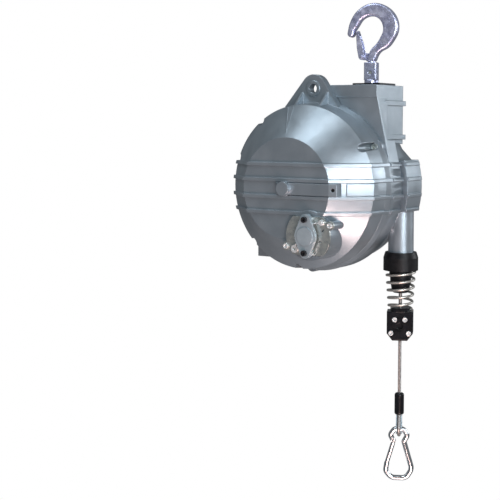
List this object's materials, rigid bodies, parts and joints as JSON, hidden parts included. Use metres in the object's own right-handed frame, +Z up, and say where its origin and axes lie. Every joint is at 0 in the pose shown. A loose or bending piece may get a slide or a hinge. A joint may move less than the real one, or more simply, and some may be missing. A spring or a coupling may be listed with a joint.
{
  "type": "spring tool balancer",
  "caption": "Spring tool balancer: ribbed cast housing with rope drum, swivel hook above, steel rope with buffer spring, clamp and snap hook below.",
  "frame": {"origin": "the seat inside the top hook, where the whole balancer hangs", "axes": "+Z up along the hook's stem, -Y to the ribbed front cover, +X towards the side where the rope leaves"},
  "size_m": [0.2525, 0.2019, 0.6883],
  "materials": {
    "cast_aluminium": "satin",
    "zinc_steel": "satin",
    "black_steel": "satin",
    "hook_steel": "satin",
    "black_rubber": "matte",
    "black_plastic": "gloss",
    "spring_steel": "satin",
    "rope_steel": "satin",
    "chrome_steel": "gloss",
    "bronze": "satin",
    "drum_aluminium": "satin",
    "cap_aluminium": "satin"
  },
  "bodies": {
    "housing": {"front_cover": "cast_aluminium", "rear_case": "cast_aluminium", "cover_screws": "black_steel", "stop_screw": "black_steel", "main_shaft": "zinc_steel", "shaft_washer": "zinc_steel", "shaft_nut": "zinc_steel", "worm_bushes": "bronze", "worm_retainer": "zinc_steel", "lock_plate": "zinc_steel", "lock_screws": "black_steel", "lock_cap": "cap_aluminium", "cap_screws": "black_steel", "lock_spring": "zinc_steel", "lock_stud": "zinc_steel", "hook_plate": "black_steel", "stem_bush": "bronze", "buffer_cup": "black_rubber", "rope_nozzle": "black_rubber"},
    "hook": {"hook_stem": "zinc_steel", "hook_washer": "zinc_steel", "hook_nut": "zinc_steel", "hook_pin": "zinc_steel", "suspension_hook": "hook_steel", "latch_pin": "zinc_steel"},
    "latch": {"hook_latch": "zinc_steel"},
    "drum": {"rope_drum": "drum_aluminium", "rope_turns": "rope_steel", "drum_bearings": "chrome_steel", "ratchet_wheel": "zinc_steel"},
    "barrel": {"spring_barrel": "drum_aluminium", "barrel_lid": "drum_aluminium", "barrel_bushes": "bronze", "power_spring": "spring_steel", "worm_wheel": "bronze", "barrel_screws": "black_steel"},
    "worm": {"worm_screw": "zinc_steel"},
    "lock": {"lock_lever": "zinc_steel", "lock_shaft": "zinc_steel", "lock_pawl": "zinc_steel"},
    "rope_end": {"buffer_spring": "spring_steel", "clamp_front": "black_plastic", "clamp_back": "black_plastic", "clamp_screws": "zinc_steel", "rope_upper": "rope_steel", "rope_lower": "rope_steel", "rope_sleeve": "black_plastic", "rope_ferrule": "rope_steel", "rope_eye": "rope_steel", "thimble": "zinc_steel"},
    "snap": {"snap_hook": "chrome_steel", "gate_pin": "zinc_steel"},
    "gate": {"snap_gate": "chrome_steel"}
  },
  "joints": [
    {"name": "drum_spin", "type": "hinge", "parent": "housing", "child": "drum", "pos_m": [-0.0635, 0, -0.2407], "axis": [0, 1, 0], "range_deg": [0, 1080], "stiffness_Nm_per_rad": 0.3, "springref_deg": -2291.83},
    {"name": "rope_travel", "type": "slide", "parent": "housing", "child": "rope_end", "axis": [0, 0, -1], "range_m": [0, 2], "deforming": ["rope_upper"]},
    {"name": "barrel_turn", "type": "hinge", "parent": "housing", "child": "barrel", "pos_m": [-0.0635, -0.065, -0.2407], "axis": [0, 1, 0], "continuous": true},
    {"name": "worm_turn", "type": "hinge", "parent": "housing", "child": "worm", "pos_m": [-0.1568, -0.027, -0.2407], "axis": [0, 0, 1], "continuous": true},
    {"name": "lock_turn", "type": "hinge", "parent": "housing", "child": "lock", "pos_m": [-0.0235, -0.125, -0.3032], "axis": [0, 1, 0], "range_deg": [0, 25], "stiffness_Nm_per_rad": 0.2, "springref_deg": -22.92},
    {"name": "hook_swivel", "type": "hinge", "parent": "housing", "child": "hook", "pos_m": [0, 0, 0], "axis": [0, 0, 1], "continuous": true},
    {"name": "latch_hinge", "type": "hinge", "parent": "hook", "child": "latch", "pos_m": [-0.01304, -0.00349, -0.0567], "axis": [-0.2588, 0.9659, 0], "range_deg": [0, 35], "stiffness_Nm_per_rad": 0.02, "springref_deg": -28.65},
    {"name": "snap_swing", "type": "hinge", "parent": "rope_end", "child": "snap", "pos_m": [0.0405, 0.0186, -0.59405], "axis": [0.9063, 0.4226, 0], "range_deg": [-60, 60]},
    {"name": "gate_hinge", "type": "hinge", "parent": "snap", "child": "gate", "pos_m": [0.03352, 0.01535, -0.6123], "axis": [0.4226, -0.9063, 0], "range_deg": [0, 20], "stiffness_Nm_per_rad": 0.01, "springref_deg": -28.65}
  ],
  "couplings": [
    {"joint": "rope_travel", "follows": "drum_spin", "m_per_rad": 0.105},
    {"joint": "worm_turn", "follows": "barrel_turn", "ratio": -57}
  ]
}
